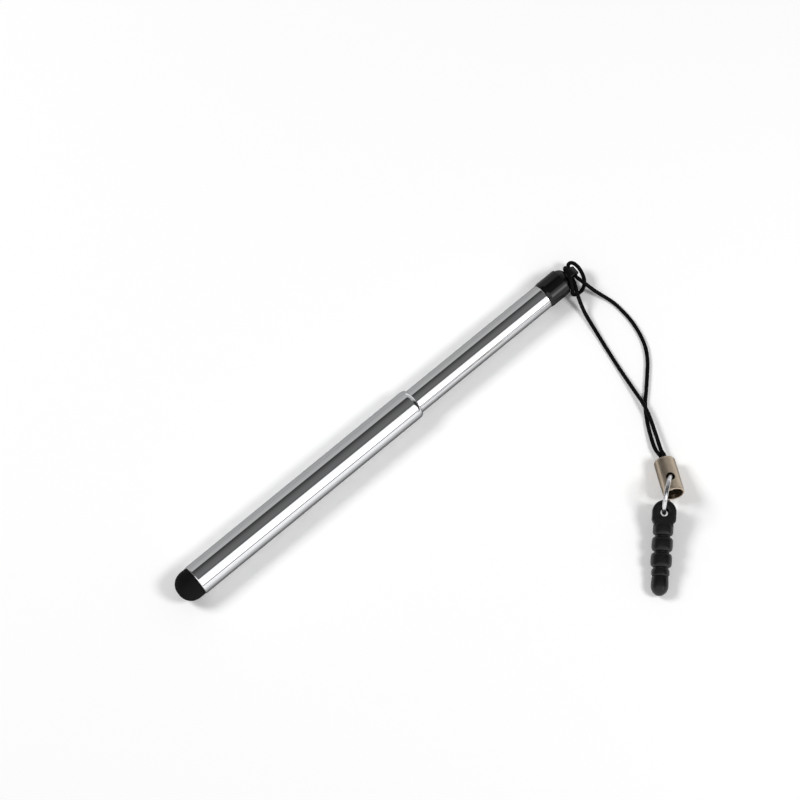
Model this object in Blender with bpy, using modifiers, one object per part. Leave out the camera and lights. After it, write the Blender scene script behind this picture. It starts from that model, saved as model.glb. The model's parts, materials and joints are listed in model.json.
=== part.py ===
"""Retractable stylus pen with a wrist cord and a headphone-jack dust plug.

The pen lies along X with its soft tip towards -X, drawn out to its full length, on a table
at z = 0. Its length is centred on x = 0. Sizes are in metres.
"""

import math

import bmesh
import bpy
from mathutils import Euler, Matrix, Vector

MM = 0.001

# Facets round a large and a small turned piece
SIDES = 48
SMALL_SIDES = 32

# Fits
RUN_CLEARANCE = 0.05 * MM
SEAT_GAP = 0.05 * MM
STOP_GAP = 0.10 * MM

# Front barrel with its rolled-in mouth
BARREL_DIAMETER = 6.0 * MM
BARREL_WALL = 0.3 * MM
BARREL_LENGTH = 51.6 * MM
BARREL_EDGE = 0.2 * MM
MOUTH_ROLL = 0.9 * MM
MOUTH_STEP = 0.2 * MM

# Rubber tip and the plug that carries it
TIP_STEP = 0.1 * MM
TIP_REACH = 3.9 * MM
TIP_DOME = 2.9 * MM
TIP_FULLNESS = 2.2
TIP_WALL = 0.7 * MM
TIP_LIP = 0.6 * MM
HOLDER_NECK_DIAMETER = 3.0 * MM
HOLDER_HEAD_DIAMETER = 3.8 * MM
HOLDER_HEAD_LENGTH = 1.1 * MM
HOLDER_BODY_LENGTH = 7.0 * MM
HOLDER_SHOULDER = 0.4 * MM

# Rear tube, which runs in the barrel's mouth and is necked in front for the friction shells
TUBE_WALL = 0.3 * MM
STROKE = 31.6 * MM
NECK_DEPTH = 0.2 * MM
NECK_TAPER = 0.3 * MM
SHELL_LENGTH = 6.0 * MM
SHELL_SWEEP = math.radians(164)
SHELL_CROWN = 0.06 * MM
BUSH_FLANGE = 0.8 * MM
BUSH_FLANGE_CLEARANCE = 0.1 * MM
BUSH_SPIGOT_LENGTH = 4.5 * MM
BUSH_VENT_DIAMETER = 1.4 * MM

# Rear cap and its cord lug
CAP_STEP = 0.15 * MM
CAP_LENGTH = 4.5 * MM
CAP_LEAD_LENGTH = 0.6 * MM
CAP_LEAD_DEPTH = 0.12 * MM
CAP_SHOULDER = 0.2 * MM
CAP_LEDGE = 0.12 * MM
CAP_CONE_LENGTH = 1.4 * MM
CAP_END_DIAMETER = 2.1 * MM
CAP_SPIGOT_LENGTH = 6.0 * MM
CAP_SPIGOT_CHAMFER = 0.3 * MM
CAP_CORE_DIAMETER = 2.2 * MM
CAP_CORE_DEPTH = 8.0 * MM
LUG_THICKNESS = 1.6 * MM
LUG_RIM = 0.45 * MM
LUG_EDGE = 0.15 * MM
LUG_ROOT = 1.0 * MM

# Cord
CORD_DIAMETER = 0.75 * MM
CORD_SPACING = 0.05 * MM
CORD_HOLE_CLEARANCE = 0.075 * MM

# Crimped ferrule on the cord's two ends: where its closed end lies from the lug hole
FERRULE_DIAMETER = 3.95 * MM
FERRULE_WALL = 0.35 * MM
FERRULE_LENGTH = 7.3 * MM
FERRULE_END_WALL = 0.5 * MM
FERRULE_EDGE = 0.4 * MM
FERRULE_FROM_LUG = (-10.95 * MM, -37.97 * MM)
FERRULE_HEADING = math.radians(-119)
FERRULE_TILT = math.radians(17)
CROSS_HOLE_DIAMETER = 1.65 * MM
CROSS_HOLE_INSET = 2.7 * MM
KNOT_DIAMETER = 2.6 * MM
KNOT_LENGTH = 1.5 * MM
KNOT_EDGE = 0.5 * MM

# Jump ring through the ferrule and the plug's eyelet
RING_DIAMETER = 7.5 * MM
RING_WIRE = 0.8 * MM
RING_JOINT_GAP = 0.12 * MM
RING_JOINT_AT = math.radians(40)
RING_SWING = math.radians(25)
RING_POINTS = 48

# Dust plug: its stations run from the top of the head to the rounded tip
PLUG_LENGTH = 17.4 * MM
PLUG_HEADING = math.radians(-135.2)
PLUG_HEAD_WIDTH = 4.35 * MM
PLUG_HEAD_THICKNESS = 2.4 * MM
PLUG_HEAD_LENGTH = 4.4 * MM
PLUG_HEAD_TAPER = 0.7 * MM
PLUG_HEAD_WAIST = 3.5 * MM
PLUG_HEAD_EDGE = 0.5 * MM
PLUG_EYELET_DIAMETER = 1.4 * MM
PLUG_EYELET_AT = 2.3 * MM
PLUG_EYELET_BELOW = math.radians(27)
PLUG_COLLAR_DIAMETER = 3.7 * MM
PLUG_COLLAR_LENGTH = 2.2 * MM
PLUG_RIB_DIAMETER = 3.85 * MM
PLUG_RIB_LENGTH = 2.9 * MM
PLUG_LAST_RIB_DIAMETER = 3.3 * MM
PLUG_LAST_RIB_LENGTH = 1.4 * MM
PLUG_GROOVE_DIAMETER = 2.8 * MM
PLUG_GROOVE_WIDTH = 0.35 * MM
PLUG_BALL_DIAMETER = 3.2 * MM
PLUG_BALL_TIP = 1.9 * MM

# Stations along the pen's axis, from the tip's apex towards the lug
BARREL_FRONT = TIP_REACH
MOUTH = BARREL_FRONT + BARREL_LENGTH
CAP_FRONT = MOUTH + STROKE + STOP_GAP
CAP_REAR = CAP_FRONT + CAP_LENGTH
CAP_END = CAP_REAR + CAP_CONE_LENGTH
LUG_HOLE_DIAMETER = 2 * CORD_DIAMETER + CORD_SPACING + 2 * CORD_HOLE_CLEARANCE
LUG_HOLE = CAP_END + LUG_HOLE_DIAMETER / 2 + CORD_HOLE_CLEARANCE
LUG_RADIUS = LUG_HOLE_DIAMETER / 2 + LUG_RIM
PEN_LENGTH = LUG_HOLE + LUG_RADIUS
SHELL_REAR = MOUTH - MOUTH_ROLL - SEAT_GAP
SHELL_FRONT = SHELL_REAR - SHELL_LENGTH

# The lowest facet of the barrel lies flat on the table
AXIS_HEIGHT = BARREL_DIAMETER / 2 * math.cos(math.pi / SIDES)
LUG_POINT = Vector((LUG_HOLE - PEN_LENGTH / 2, 0, AXIS_HEIGHT))

# Radii that pieces share
BARREL_BORE = BARREL_DIAMETER / 2 - BARREL_WALL
MOUTH_RADIUS = BARREL_BORE - MOUTH_STEP
TUBE_RADIUS = MOUTH_RADIUS - RUN_CLEARANCE
TUBE_BORE = TUBE_RADIUS - TUBE_WALL
NECK_RADIUS = TUBE_RADIUS - NECK_DEPTH
NECK_BORE = NECK_RADIUS - TUBE_WALL
HOLDER_NECK = HOLDER_NECK_DIAMETER / 2
FERRULE_BORE = FERRULE_DIAMETER / 2 - FERRULE_WALL
CORD_OFFSET = (CORD_DIAMETER + CORD_SPACING) / 2
RING_RADIUS = (RING_DIAMETER - RING_WIRE) / 2

# The loose hitch: millimetres from the lug hole's centre, in the order of the cord. It goes
# out of the hole, over the cap's cone, under both strands, round the lug's end and back.
HITCH = (
    (-0.33, 1.30, 0.42), (-0.30, 1.30, 1.06), (-0.48, 0.82, 1.92), (-0.98, -0.25, 2.36),
    (-1.40, -1.27, 2.19), (-1.76, -2.08, 1.64), (-1.98, -2.61, 0.86), (-2.17, -2.87, 0.08),
    (-2.15, -3.06, -0.58), (-1.90, -3.26, -1.10), (-1.25, -3.46, -1.30), (-0.40, -3.52, -1.27),
    (0.45, -3.22, -1.17), (1.08, -2.70, -0.98), (1.52, -2.05, -0.75), (1.82, -1.15, -0.45),
    (1.98, -0.15, -0.15), (1.90, 0.80, 0.05), (1.64, 1.42, 0.12), (1.20, 1.69, 0.12), (0.70, 1.52, 0.06),
)

# The two strands from the lug hole to the ferrule: millimetres from the hole across the
# table, and millimetres above the table. The straight strand passes over the bowed one.
STRAIGHT_STRAND = (
    (-0.72, -1.85, 3.12), (-1.30, -2.92, 3.24), (-1.81, -4.12, 2.72), (-2.29, -5.85, 1.55),
    (-2.69, -7.68, 0.88), (-3.51, -12.15, 0.46), (-4.30, -16.22, 0.43), (-4.90, -19.56, 0.48),
    (-5.62, -23.77, 0.80), (-6.28, -27.30, 1.22), (-7.07, -29.85, 1.26), (-8.52, -33.12, 1.40),
    (-9.86, -36.00, 1.62),
)
BOWED_STRAND = (
    (0.52, -1.85, 2.95), (0.77, -2.96, 2.88), (1.16, -4.15, 2.28), (1.73, -5.40, 1.42),
    (2.86, -8.45, 0.60), (3.16, -10.88, 0.45), (3.09, -13.86, 0.42), (2.54, -16.80, 0.40),
    (1.62, -19.24, 0.40), (0.14, -21.47, 0.40), (-1.72, -23.41, 0.40), (-4.05, -25.70, 0.40),
    (-5.58, -27.13, 0.40), (-7.02, -28.95, 0.42), (-8.64, -31.50, 0.60), (-10.24, -34.70, 0.90),
)
CORD_BEND_STEP = math.radians(42)
CORD_LEAD = 1.2 * MM
CORD_PAIR_TURN = math.radians(40)


def clear_scene():
    for item in list(bpy.data.objects):
        bpy.data.objects.remove(item, do_unlink=True)


def new_collection(name):
    group = bpy.data.collections.new(name)
    bpy.context.scene.collection.children.link(group)
    return group


def principled(name, colour, roughness, metallic=0.0):
    material = bpy.data.materials.new(name)
    material.use_nodes = True
    shader = material.node_tree.nodes["Principled BSDF"]
    shader.inputs["Base Color"].default_value = (*colour, 1.0)
    shader.inputs["Roughness"].default_value = roughness
    shader.inputs["Metallic"].default_value = metallic
    return material


def new_empty(name, group, location, rotation=(0, 0, 0), parent=None):
    seat = bpy.data.objects.new(name, None)
    seat.location = location
    seat.rotation_euler = rotation
    seat.parent = parent
    group.objects.link(seat)
    return seat


def place(item, group, parent, material=None, location=(0, 0, 0), rotation=(0, 0, 0)):
    item.location = location
    item.rotation_euler = rotation
    item.parent = parent
    group.objects.link(item)
    if material:
        item.data.materials.append(material)
    return item


def make_cutter(item):
    item.hide_render = True
    item.display_type = "WIRE"
    return item


def arc(centre, radii, start, end, steps):
    """Points of an elliptic arc in a turned profile, as (radius, station), angles in degrees."""
    points = []
    for i in range(steps + 1):
        angle = math.radians(start + (end - start) * i / steps)
        points.append((centre[0] + radii[0] * math.cos(angle),
                       centre[1] + radii[1] * math.sin(angle)))
    return points


def turned(name, profile, sides, closed):
    """A profile of (radius, station) points turned about Z. It runs down its outer side."""
    mesh = bpy.data.meshes.new(name)
    points = [(radius, 0, station) for radius, station in profile]
    edges = [(i, i + 1) for i in range(len(points) - 1)]
    if closed:
        edges.append((len(points) - 1, 0))
    mesh.from_pydata(points, edges, [])
    mesh.transform(Matrix.Rotation(math.pi / sides, 4, "Z"))
    item = bpy.data.objects.new(name, mesh)
    screw = item.modifiers.new("turn", "SCREW")
    screw.steps = sides
    screw.render_steps = sides
    screw.use_merge_vertices = True
    screw.merge_threshold = 1e-7
    screw.use_smooth_shade = True
    return item


def outline_solid(name, outlines, thickness, edge):
    """Closed outlines in XY filled to a plate with rounded edges, as a mesh. A second one is a hole."""
    curve = bpy.data.curves.new(name, "CURVE")
    curve.dimensions = "2D"
    curve.fill_mode = "BOTH"
    curve.extrude = thickness / 2 - edge
    curve.bevel_depth = edge
    curve.bevel_resolution = 1
    curve.offset = -edge
    for outline in outlines:
        spline = curve.splines.new("POLY")
        spline.points.add(len(outline) - 1)
        for point, (x, y) in zip(spline.points, outline):
            point.co = (x, y, 0, 1)
        spline.use_cyclic_u = True
    source = bpy.data.objects.new(name, curve)
    bpy.context.scene.collection.objects.link(source)
    evaluated = source.evaluated_get(bpy.context.evaluated_depsgraph_get())
    mesh = bpy.data.meshes.new_from_object(evaluated)
    shape = bmesh.new()
    shape.from_mesh(mesh)
    bmesh.ops.remove_doubles(shape, verts=shape.verts, dist=1e-7)
    shape.to_mesh(mesh)
    shape.free()
    bpy.data.objects.remove(source, do_unlink=True)
    return bpy.data.objects.new(name, mesh)


def cylinder_cutter(name, diameter, length, sides):
    mesh = bpy.data.meshes.new(name)
    shape = bmesh.new()
    bmesh.ops.create_cone(shape, cap_ends=True, segments=sides, radius1=diameter / 2,
                          radius2=diameter / 2, depth=length)
    shape.to_mesh(mesh)
    shape.free()
    return make_cutter(bpy.data.objects.new(name, mesh))


def boolean(item, tool, operation):
    cut = item.modifiers.new(operation.lower(), "BOOLEAN")
    cut.operation = operation
    cut.object = tool
    cut.solver = "EXACT"


def wire_curve(name, points, diameter, resolution):
    curve = bpy.data.curves.new(name, "CURVE")
    curve.dimensions = "3D"
    curve.bevel_depth = diameter / 2
    curve.bevel_resolution = resolution
    curve.use_fill_caps = True
    spline = curve.splines.new("POLY")
    spline.points.add(len(points) - 1)
    for point, place_at in zip(spline.points, points):
        point.co = (*place_at, 1)
    spline.use_smooth = True
    return bpy.data.objects.new(name, curve)


def smooth_path(points):
    """Points read from a Catmull-Rom curve through the given points, more of them in a bend."""
    ends = [2 * points[0] - points[1], *points, 2 * points[-1] - points[-2]]
    path = []
    for before, start, end, after in zip(ends, ends[1:], ends[2:], ends[3:]):
        turn = (start - before).angle(after - end)
        count = max(1, math.ceil(turn / CORD_BEND_STEP))
        for i in range(count):
            t = i / count
            path.append(0.5 * (2 * start + (end - before) * t
                               + (2 * before - 5 * start + 4 * end - after) * t ** 2
                               + (3 * start - before - 3 * end + after) * t ** 3))
    path.append(points[-1])
    return path


def circle_points(centre_y, radius, count):
    """A full circle of points about (0, centre_y)."""
    angles = [2 * math.pi * i / count for i in range(count)]
    return [(radius * math.cos(a), centre_y + radius * math.sin(a)) for a in angles]


def build_barrel(group, axis):
    radius = BARREL_DIAMETER / 2
    profile = arc((MOUTH_RADIUS, MOUTH - MOUTH_ROLL), (radius - MOUTH_RADIUS, MOUTH_ROLL), 90, 0, 6)
    profile += arc((radius - BARREL_EDGE, BARREL_FRONT + BARREL_EDGE), (BARREL_EDGE, BARREL_EDGE), 0, -90, 3)
    profile += [(BARREL_BORE, BARREL_FRONT)]
    profile += arc((MOUTH_RADIUS, MOUTH - MOUTH_ROLL),
                   (BARREL_BORE - MOUTH_RADIUS, MOUTH_ROLL - BARREL_WALL), 0, 90, 4)
    chrome = principled("polished_steel_barrel", (0.80, 0.80, 0.81), 0.12, 1.0)
    place(turned("outer_barrel", profile, SIDES, True), group, axis, chrome)


def dome(radius, length, steps):
    """The half profile of a full dome whose apex is at station 0, from its rim down to the axis."""
    points = []
    for i in range(steps + 1):
        angle = math.pi / 2 * i / steps
        reach = math.cos(angle) ** (2 / TIP_FULLNESS)
        depth = math.sin(angle) ** (2 / TIP_FULLNESS)
        points.append((radius * reach, length * (1 - depth)))
    points[-1] = (0, 0)
    return points


def build_tip(group, axis):
    radius = BARREL_DIAMETER / 2 - TIP_STEP
    rear = BARREL_FRONT - SEAT_GAP
    neck_hole = HOLDER_NECK + SEAT_GAP
    cavity = HOLDER_HEAD_DIAMETER / 2 + SEAT_GAP
    cavity_length = TIP_DOME - TIP_WALL
    inner_dome = [(r, z + TIP_WALL) for r, z in dome(cavity, cavity_length, 4)]
    profile = inner_dome[::-1]
    profile += [(cavity, rear - TIP_LIP), (neck_hole, rear - TIP_LIP), (neck_hole, rear), (radius, rear)]
    profile += dome(radius, TIP_DOME, 8)
    rubber = principled("black_conductive_rubber", (0.012, 0.012, 0.013), 0.75)
    place(turned("stylus_tip", profile, SIDES, False), group, axis, rubber)


def build_tip_holder(group, axis):
    body = BARREL_BORE - SEAT_GAP
    body_front = BARREL_FRONT + HOLDER_SHOULDER
    rear = body_front + HOLDER_BODY_LENGTH
    head_rear = BARREL_FRONT - SEAT_GAP - TIP_LIP - SEAT_GAP
    head_front = head_rear - HOLDER_HEAD_LENGTH
    head = HOLDER_HEAD_DIAMETER / 2
    head_round = HOLDER_HEAD_LENGTH / 2
    profile = [(0, rear), (body - HOLDER_SHOULDER, rear), (body, rear - HOLDER_SHOULDER), (body, body_front),
               (HOLDER_NECK, body_front), (HOLDER_NECK, head_rear), (head, head_rear)]
    profile += arc((head - head_round, head_front + head_round), (head_round, head_round), 0, -90, 3)
    profile += [(0, head_front)]
    brass = principled("turned_brass", (0.72, 0.53, 0.25), 0.3, 1.0)
    place(turned("tip_holder", profile, SMALL_SIDES, False), group, axis, brass)


def build_tube(group, axis):
    front = SHELL_FRONT - SEAT_GAP
    shoulder = SHELL_REAR + SEAT_GAP
    rear = CAP_FRONT - SEAT_GAP
    profile = [(TUBE_RADIUS, rear), (TUBE_RADIUS, shoulder + NECK_TAPER), (NECK_RADIUS, shoulder),
               (NECK_RADIUS, front), (NECK_BORE, front), (NECK_BORE, shoulder),
               (TUBE_BORE, shoulder + NECK_TAPER), (TUBE_BORE, rear)]
    chrome = principled("polished_steel_tube", (0.80, 0.80, 0.81), 0.12, 1.0)
    place(turned("inner_barrel", profile, SIDES, True), group, axis, chrome)


def build_bush(group, axis):
    """The bush pressed into the tube's necked end, whose flange keeps the shells in place."""
    flange = BARREL_BORE - BUSH_FLANGE_CLEARANCE
    spigot = NECK_BORE - SEAT_GAP
    vent = BUSH_VENT_DIAMETER / 2
    flange_rear = SHELL_FRONT - 2 * SEAT_GAP
    flange_front = flange_rear - BUSH_FLANGE
    spigot_rear = flange_rear + BUSH_SPIGOT_LENGTH
    profile = [(vent, spigot_rear), (spigot, spigot_rear), (spigot, flange_rear), (flange, flange_rear),
               (flange, flange_front), (vent, flange_front)]
    brass = principled("brass_bush", (0.72, 0.53, 0.25), 0.3, 1.0)
    place(turned("stop_bush", profile, SMALL_SIDES, True), group, axis, brass)


def build_shells(group, axis):
    """Two crowned half shells that press lightly on the barrel's bore and can turn on the neck."""
    inner = NECK_RADIUS + RUN_CLEARANCE
    outer = BARREL_BORE - RUN_CLEARANCE
    stations = [SHELL_REAR - SHELL_LENGTH * i / 6 for i in range(7)]
    bronze = principled("spring_bronze", (0.66, 0.42, 0.24), 0.35, 1.0)
    for name, turn in (("friction_shell_upper", math.pi), ("friction_shell_lower", 0)):
        mesh = bpy.data.meshes.new(name)
        points = []
        for i, station in enumerate(stations):
            bow = math.sin(math.pi * i / 6)
            points.append((outer - SHELL_CROWN * (1 - bow), 0, station))
        mesh.from_pydata(points, [(i, i + 1) for i in range(6)], [])
        mesh.transform(Matrix.Rotation(turn - SHELL_SWEEP / 2, 4, "Z"))
        shell = bpy.data.objects.new(name, mesh)
        sweep = shell.modifiers.new("sweep", "SCREW")
        sweep.angle = SHELL_SWEEP
        sweep.steps = SMALL_SIDES // 2
        sweep.render_steps = SMALL_SIDES // 2
        sweep.use_smooth_shade = True
        thickness = shell.modifiers.new("thickness", "SOLIDIFY")
        thickness.thickness = outer - SHELL_CROWN - inner
        thickness.offset = -1
        place(shell, group, axis, bronze)


def build_cap(group, cutters, axis):
    radius = TUBE_RADIUS + CAP_STEP
    spigot = TUBE_BORE - SEAT_GAP
    spigot_front = CAP_FRONT - CAP_SPIGOT_LENGTH
    end = CAP_END_DIAMETER / 2
    core = CAP_CORE_DIAMETER / 2
    cone_foot = radius - CAP_SHOULDER - CAP_LEDGE
    profile = [(0, CAP_END)]
    profile += arc((end, CAP_REAR), (cone_foot - end, CAP_CONE_LENGTH), 90, 0, 5)
    profile += arc((radius - CAP_SHOULDER, CAP_REAR - CAP_SHOULDER), (CAP_SHOULDER, CAP_SHOULDER), 90, 0, 3)
    profile += [(radius, CAP_FRONT + CAP_LEAD_LENGTH), (radius - CAP_LEAD_DEPTH, CAP_FRONT),
                (spigot, CAP_FRONT), (spigot, spigot_front + CAP_SPIGOT_CHAMFER),
                (spigot - CAP_SPIGOT_CHAMFER, spigot_front), (core, spigot_front),
                (core, spigot_front + CAP_CORE_DEPTH), (0, spigot_front + CAP_CORE_DEPTH)]
    abs_plastic = principled("black_abs", (0.015, 0.015, 0.016), 0.38)
    cap = place(turned("rear_cap", profile, SIDES, False), group, axis, abs_plastic)

    # The lug is a flat tab with a round end about its hole
    root = CAP_END - LUG_ROOT
    outline = [(-LUG_RADIUS, root), (LUG_RADIUS, root)]
    outline += arc((0, LUG_HOLE), (LUG_RADIUS, LUG_RADIUS), 0, 180, 14)
    hole = circle_points(LUG_HOLE, LUG_HOLE_DIAMETER / 2, 24)
    lug = outline_solid("lug_form", [outline, hole], LUG_THICKNESS, LUG_EDGE)
    place(make_cutter(lug), cutters, axis, rotation=(math.pi / 2, 0, 0))
    boolean(cap, lug, "UNION")


def build_cord(group, ferrule_matrix):
    """One cord: up the straight strand, through the hitch on the lug and down the bowed strand."""
    def on_table(points):
        return [Vector((LUG_POINT.x + x * MM, LUG_POINT.y + y * MM, z * MM)) for x, y, z in points]

    def in_lug(offset):
        return [LUG_POINT + Vector((offset, share * LUG_THICKNESS, 0)) for share in (-0.55, 0, 0.5)]

    def in_ferrule(offset):
        side = Matrix.Rotation(CORD_PAIR_TURN, 4, "Z") @ Vector((0, offset, 0))
        return [ferrule_matrix @ (side + Vector((0, 0, z))) for z in (-CORD_LEAD, 0, FERRULE_END_WALL)]

    route = in_ferrule(CORD_OFFSET)[::-1] + on_table(STRAIGHT_STRAND)[::-1] + in_lug(-CORD_OFFSET)
    route += [LUG_POINT + Vector(point) * MM for point in HITCH]
    route += in_lug(CORD_OFFSET)[::-1] + on_table(BOWED_STRAND) + in_ferrule(-CORD_OFFSET)
    nylon = principled("black_cord", (0.01, 0.01, 0.011), 0.6)
    place(wire_curve("strap_cord", smooth_path(route), CORD_DIAMETER, 2), group, None, nylon)


def build_ferrule(group, cutters, seat):
    radius = FERRULE_DIAMETER / 2
    cord_hole = 2 * CORD_OFFSET + CORD_HOLE_CLEARANCE
    profile = [(radius, FERRULE_LENGTH)]
    profile += arc((radius - FERRULE_EDGE, FERRULE_EDGE), (FERRULE_EDGE, FERRULE_EDGE), 0, -90, 3)
    profile += [(cord_hole, 0), (cord_hole, FERRULE_END_WALL), (FERRULE_BORE, FERRULE_END_WALL),
                (FERRULE_BORE, FERRULE_LENGTH)]
    nickel = principled("nickel_plated_brass", (0.55, 0.52, 0.48), 0.35, 1.0)
    ferrule = place(turned("cord_ferrule", profile, SMALL_SIDES, True), group, seat, nickel)
    drill = cylinder_cutter("cross_hole_cutter", CROSS_HOLE_DIAMETER, 2 * FERRULE_DIAMETER, 20)
    place(drill, cutters, seat, location=(0, 0, FERRULE_LENGTH - CROSS_HOLE_INSET),
          rotation=(0, math.pi / 2, 0))
    boolean(ferrule, drill, "DIFFERENCE")

    # The cord's ends are knotted and melted into one bead behind the end wall
    back = FERRULE_END_WALL + SEAT_GAP
    bead = KNOT_DIAMETER / 2
    corner = bead - KNOT_EDGE
    knot = [(0, back + KNOT_LENGTH)]
    knot += arc((corner, back + KNOT_LENGTH - KNOT_EDGE), (KNOT_EDGE, KNOT_EDGE), 90, 0, 3)
    knot += arc((corner, back + KNOT_EDGE), (KNOT_EDGE, KNOT_EDGE), 0, -90, 3)
    knot += [(0, back)]
    melted = principled("melted_cord_end", (0.01, 0.01, 0.011), 0.5)
    place(turned("cord_end_knot", knot, 16, False), group, seat, melted)


def build_ring(group, seat):
    """A jump ring with a butt joint, in the XZ plane of its seat; +X of the seat points down."""
    half_gap = RING_JOINT_GAP / 2 / RING_RADIUS
    points = []
    for i in range(RING_POINTS):
        sweep = half_gap + (2 * math.pi - 2 * half_gap) * i / (RING_POINTS - 1)
        angle = RING_JOINT_AT + sweep
        points.append(Vector((RING_RADIUS * math.sin(angle), 0, RING_RADIUS * math.cos(angle))))
    steel = principled("bright_steel_wire", (0.75, 0.75, 0.76), 0.18, 1.0)
    place(wire_curve("jump_ring", points, RING_WIRE, 3), group, seat, steel)


def bulge(start, end, foot, crest, next_foot):
    """The profile of one rounded rib, from its end station back to its start."""
    points = []
    for share in (1.0, 0.95, 0.8, 0.5, 0.2, 0.05, 0.0):
        edge = foot if share < 0.5 else next_foot
        fullness = (1 - abs(2 * share - 1) ** 4) ** 0.5
        points.append((edge + (crest - edge) * fullness, start + (end - start) * share))
    return points


def build_plug(group, cutters, seat):
    """Stations run along +Z from the head's top; the flat head's eyelet looks along X."""
    groove = PLUG_GROOVE_DIAMETER / 2
    waist = PLUG_HEAD_WAIST / 2
    ball = PLUG_BALL_DIAMETER / 2
    collar_end = PLUG_HEAD_LENGTH + PLUG_COLLAR_LENGTH
    first_end = collar_end + PLUG_RIB_LENGTH
    second_end = first_end + PLUG_RIB_LENGTH
    last_end = second_end + PLUG_LAST_RIB_LENGTH
    ball_at = PLUG_LENGTH - PLUG_BALL_TIP
    rib = PLUG_RIB_DIAMETER / 2
    last_rib = PLUG_LAST_RIB_DIAMETER / 2
    beside = PLUG_GROOVE_WIDTH / 2
    profile = arc((0, ball_at), (ball, PLUG_BALL_TIP), 90, 0, 6)
    profile[0] = (0, PLUG_LENGTH)
    profile += arc((groove, ball_at), (ball - groove, ball_at - last_end), 0, -80, 3)[1:]
    profile += bulge(second_end + beside, last_end, groove, last_rib, groove)
    profile += bulge(first_end + beside, second_end - beside, groove, rib, groove)
    profile += bulge(collar_end + beside, first_end - beside, groove, rib, groove)
    profile += bulge(PLUG_HEAD_LENGTH, collar_end - beside, waist, PLUG_COLLAR_DIAMETER / 2, groove)
    shank_start = PLUG_EYELET_AT + PLUG_EYELET_DIAMETER
    shank_root = PLUG_HEAD_THICKNESS / 2 - PLUG_HEAD_EDGE
    profile += [(shank_root, PLUG_HEAD_LENGTH), (shank_root, shank_start), (0, shank_start)]
    rubber = principled("black_silicone_rubber", (0.014, 0.014, 0.015), 0.7)
    plug = place(turned("dust_plug", profile, SMALL_SIDES, False), group, seat, rubber)

    # The head is a flat tab with a round top and straight sides, and narrows to the collar
    half = PLUG_HEAD_WIDTH / 2
    root = PLUG_HEAD_LENGTH + PLUG_HEAD_EDGE
    taper_start = PLUG_HEAD_LENGTH - PLUG_HEAD_TAPER
    outline = [(waist, root), (waist, PLUG_HEAD_LENGTH), (half, taper_start)]
    outline += arc((0, half), (half, half), 0, -180, 18)
    outline += [(-half, taper_start), (-waist, PLUG_HEAD_LENGTH), (-waist, root)]
    hole = circle_points(PLUG_EYELET_AT, PLUG_EYELET_DIAMETER / 2, 24)
    head = outline_solid("plug_head_form", [outline, hole], PLUG_HEAD_THICKNESS, PLUG_HEAD_EDGE)
    place(make_cutter(head), cutters, seat, rotation=(math.pi / 2, 0, math.pi / 2))
    boolean(plug, head, "UNION")


def strap_matrices():
    """World matrices of the ferrule's closed end, the ring's centre and the plug's head."""
    end_height = FERRULE_DIAMETER / 2 * math.cos(FERRULE_TILT)
    end_point = Vector((LUG_POINT.x + FERRULE_FROM_LUG[0], LUG_POINT.y + FERRULE_FROM_LUG[1], end_height))
    turn = Euler((0, math.pi / 2 - FERRULE_TILT, FERRULE_HEADING))
    ferrule = Matrix.Translation(end_point) @ turn.to_matrix().to_4x4()

    wall_middle = (FERRULE_DIAMETER - FERRULE_WALL) / 2
    ring_ahead = math.sqrt(RING_RADIUS ** 2 - wall_middle ** 2)
    cross_hole = Matrix.Translation((0, 0, FERRULE_LENGTH - CROSS_HOLE_INSET))
    swing = Matrix.Rotation(RING_SWING, 4, "X")
    ring = ferrule @ cross_hole @ swing @ Matrix.Translation((0, 0, ring_ahead))

    eyelet = ring @ Vector((RING_RADIUS * math.sin(PLUG_EYELET_BELOW), 0,
                            RING_RADIUS * math.cos(PLUG_EYELET_BELOW)))
    ball_reach = PLUG_LENGTH - PLUG_BALL_TIP - PLUG_EYELET_AT
    dip = math.asin((eyelet.z - PLUG_BALL_DIAMETER / 2) / ball_reach)
    plug_turn = Euler((0, math.pi / 2 + dip, PLUG_HEADING))
    plug = (Matrix.Translation(eyelet) @ plug_turn.to_matrix().to_4x4()
            @ Matrix.Translation((0, 0, -PLUG_EYELET_AT)))
    return ferrule, ring, plug


def main():
    clear_scene()
    parts = new_collection("retractable_stylus_pen")
    cutters = new_collection("cutters")
    axis = new_empty("pen_axis", parts, (-PEN_LENGTH / 2, 0, AXIS_HEIGHT), (0, math.pi / 2, 0))
    build_barrel(parts, axis)
    build_tip(parts, axis)
    build_tip_holder(parts, axis)
    build_tube(parts, axis)
    build_bush(parts, axis)
    build_shells(parts, axis)
    build_cap(parts, cutters, axis)

    ferrule, ring, plug = strap_matrices()
    ferrule_seat = new_empty("ferrule_seat", parts, ferrule.to_translation(), ferrule.to_euler())
    ring_seat = new_empty("ring_seat", parts, ring.to_translation(), ring.to_euler())
    plug_seat = new_empty("plug_seat", parts, plug.to_translation(), plug.to_euler())
    build_ferrule(parts, cutters, ferrule_seat)
    build_ring(parts, ring_seat)
    build_plug(parts, cutters, plug_seat)
    build_cord(parts, ferrule)


main()
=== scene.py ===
"""Finished look of a telescoping touch-screen stylus with a wrist cord and a dust plug.

The file is laid out as an add-on and is run as a script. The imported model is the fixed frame: the
pen lies on a table at z = 0 along X, with its soft tip towards -X. Lengths are in metres.
"""

import json
import math

import bmesh
import bpy
from bpy.props import FloatProperty, FloatVectorProperty, PointerProperty
from mathutils import Euler, Matrix, Vector


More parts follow.
